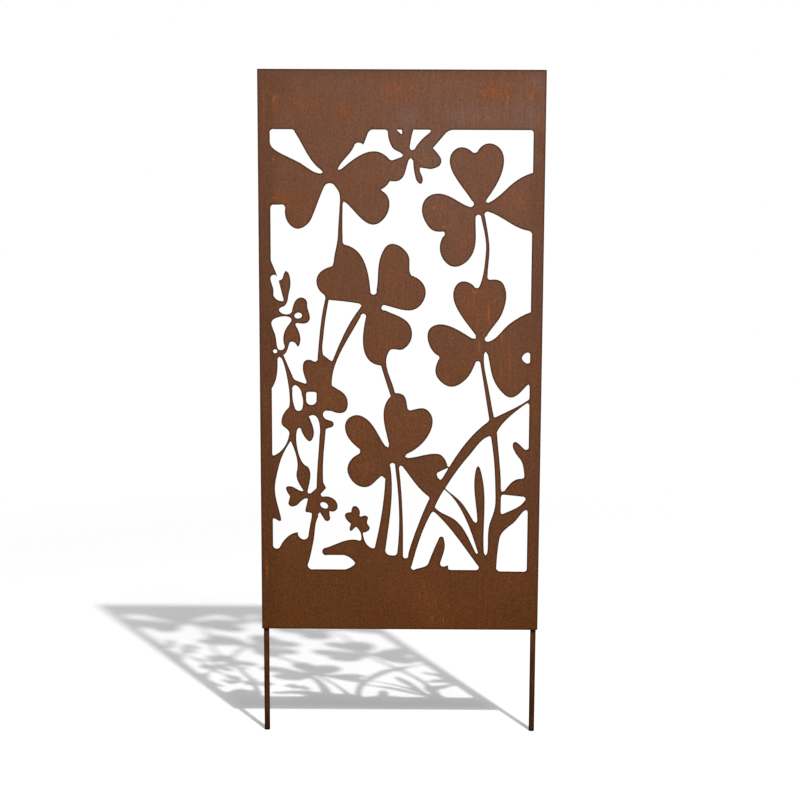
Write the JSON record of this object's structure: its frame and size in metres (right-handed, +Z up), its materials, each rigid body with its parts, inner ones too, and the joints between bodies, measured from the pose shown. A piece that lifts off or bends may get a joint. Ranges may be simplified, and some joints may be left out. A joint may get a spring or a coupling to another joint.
{
  "type": "garden trellis screen",
  "caption": "Flat rusted-steel garden trellis panel with a cut-out clover and grass ornament, on round bars that run out below as ground stakes.",
  "frame": {"origin": "ground line: midway between the two bars' axes, level with the sheet's foot, with the stakes going down below it", "axes": "+X across the sheet, +Z up the bars, and the sheet's ornamental front faces -Y"},
  "size_m": [0.5, 0.012, 1.193],
  "materials": {
    "rusted_sheet": "matte",
    "rusted_bar": "matte",
    "weld_bead": "matte"
  },
  "bodies": {
    "root": {"screen_sheet": "rusted_sheet", "left_stake": "rusted_bar", "right_stake": "rusted_bar", "left_stake_welds": "weld_bead", "right_stake_welds": "weld_bead"}
  },
  "joints": []
}
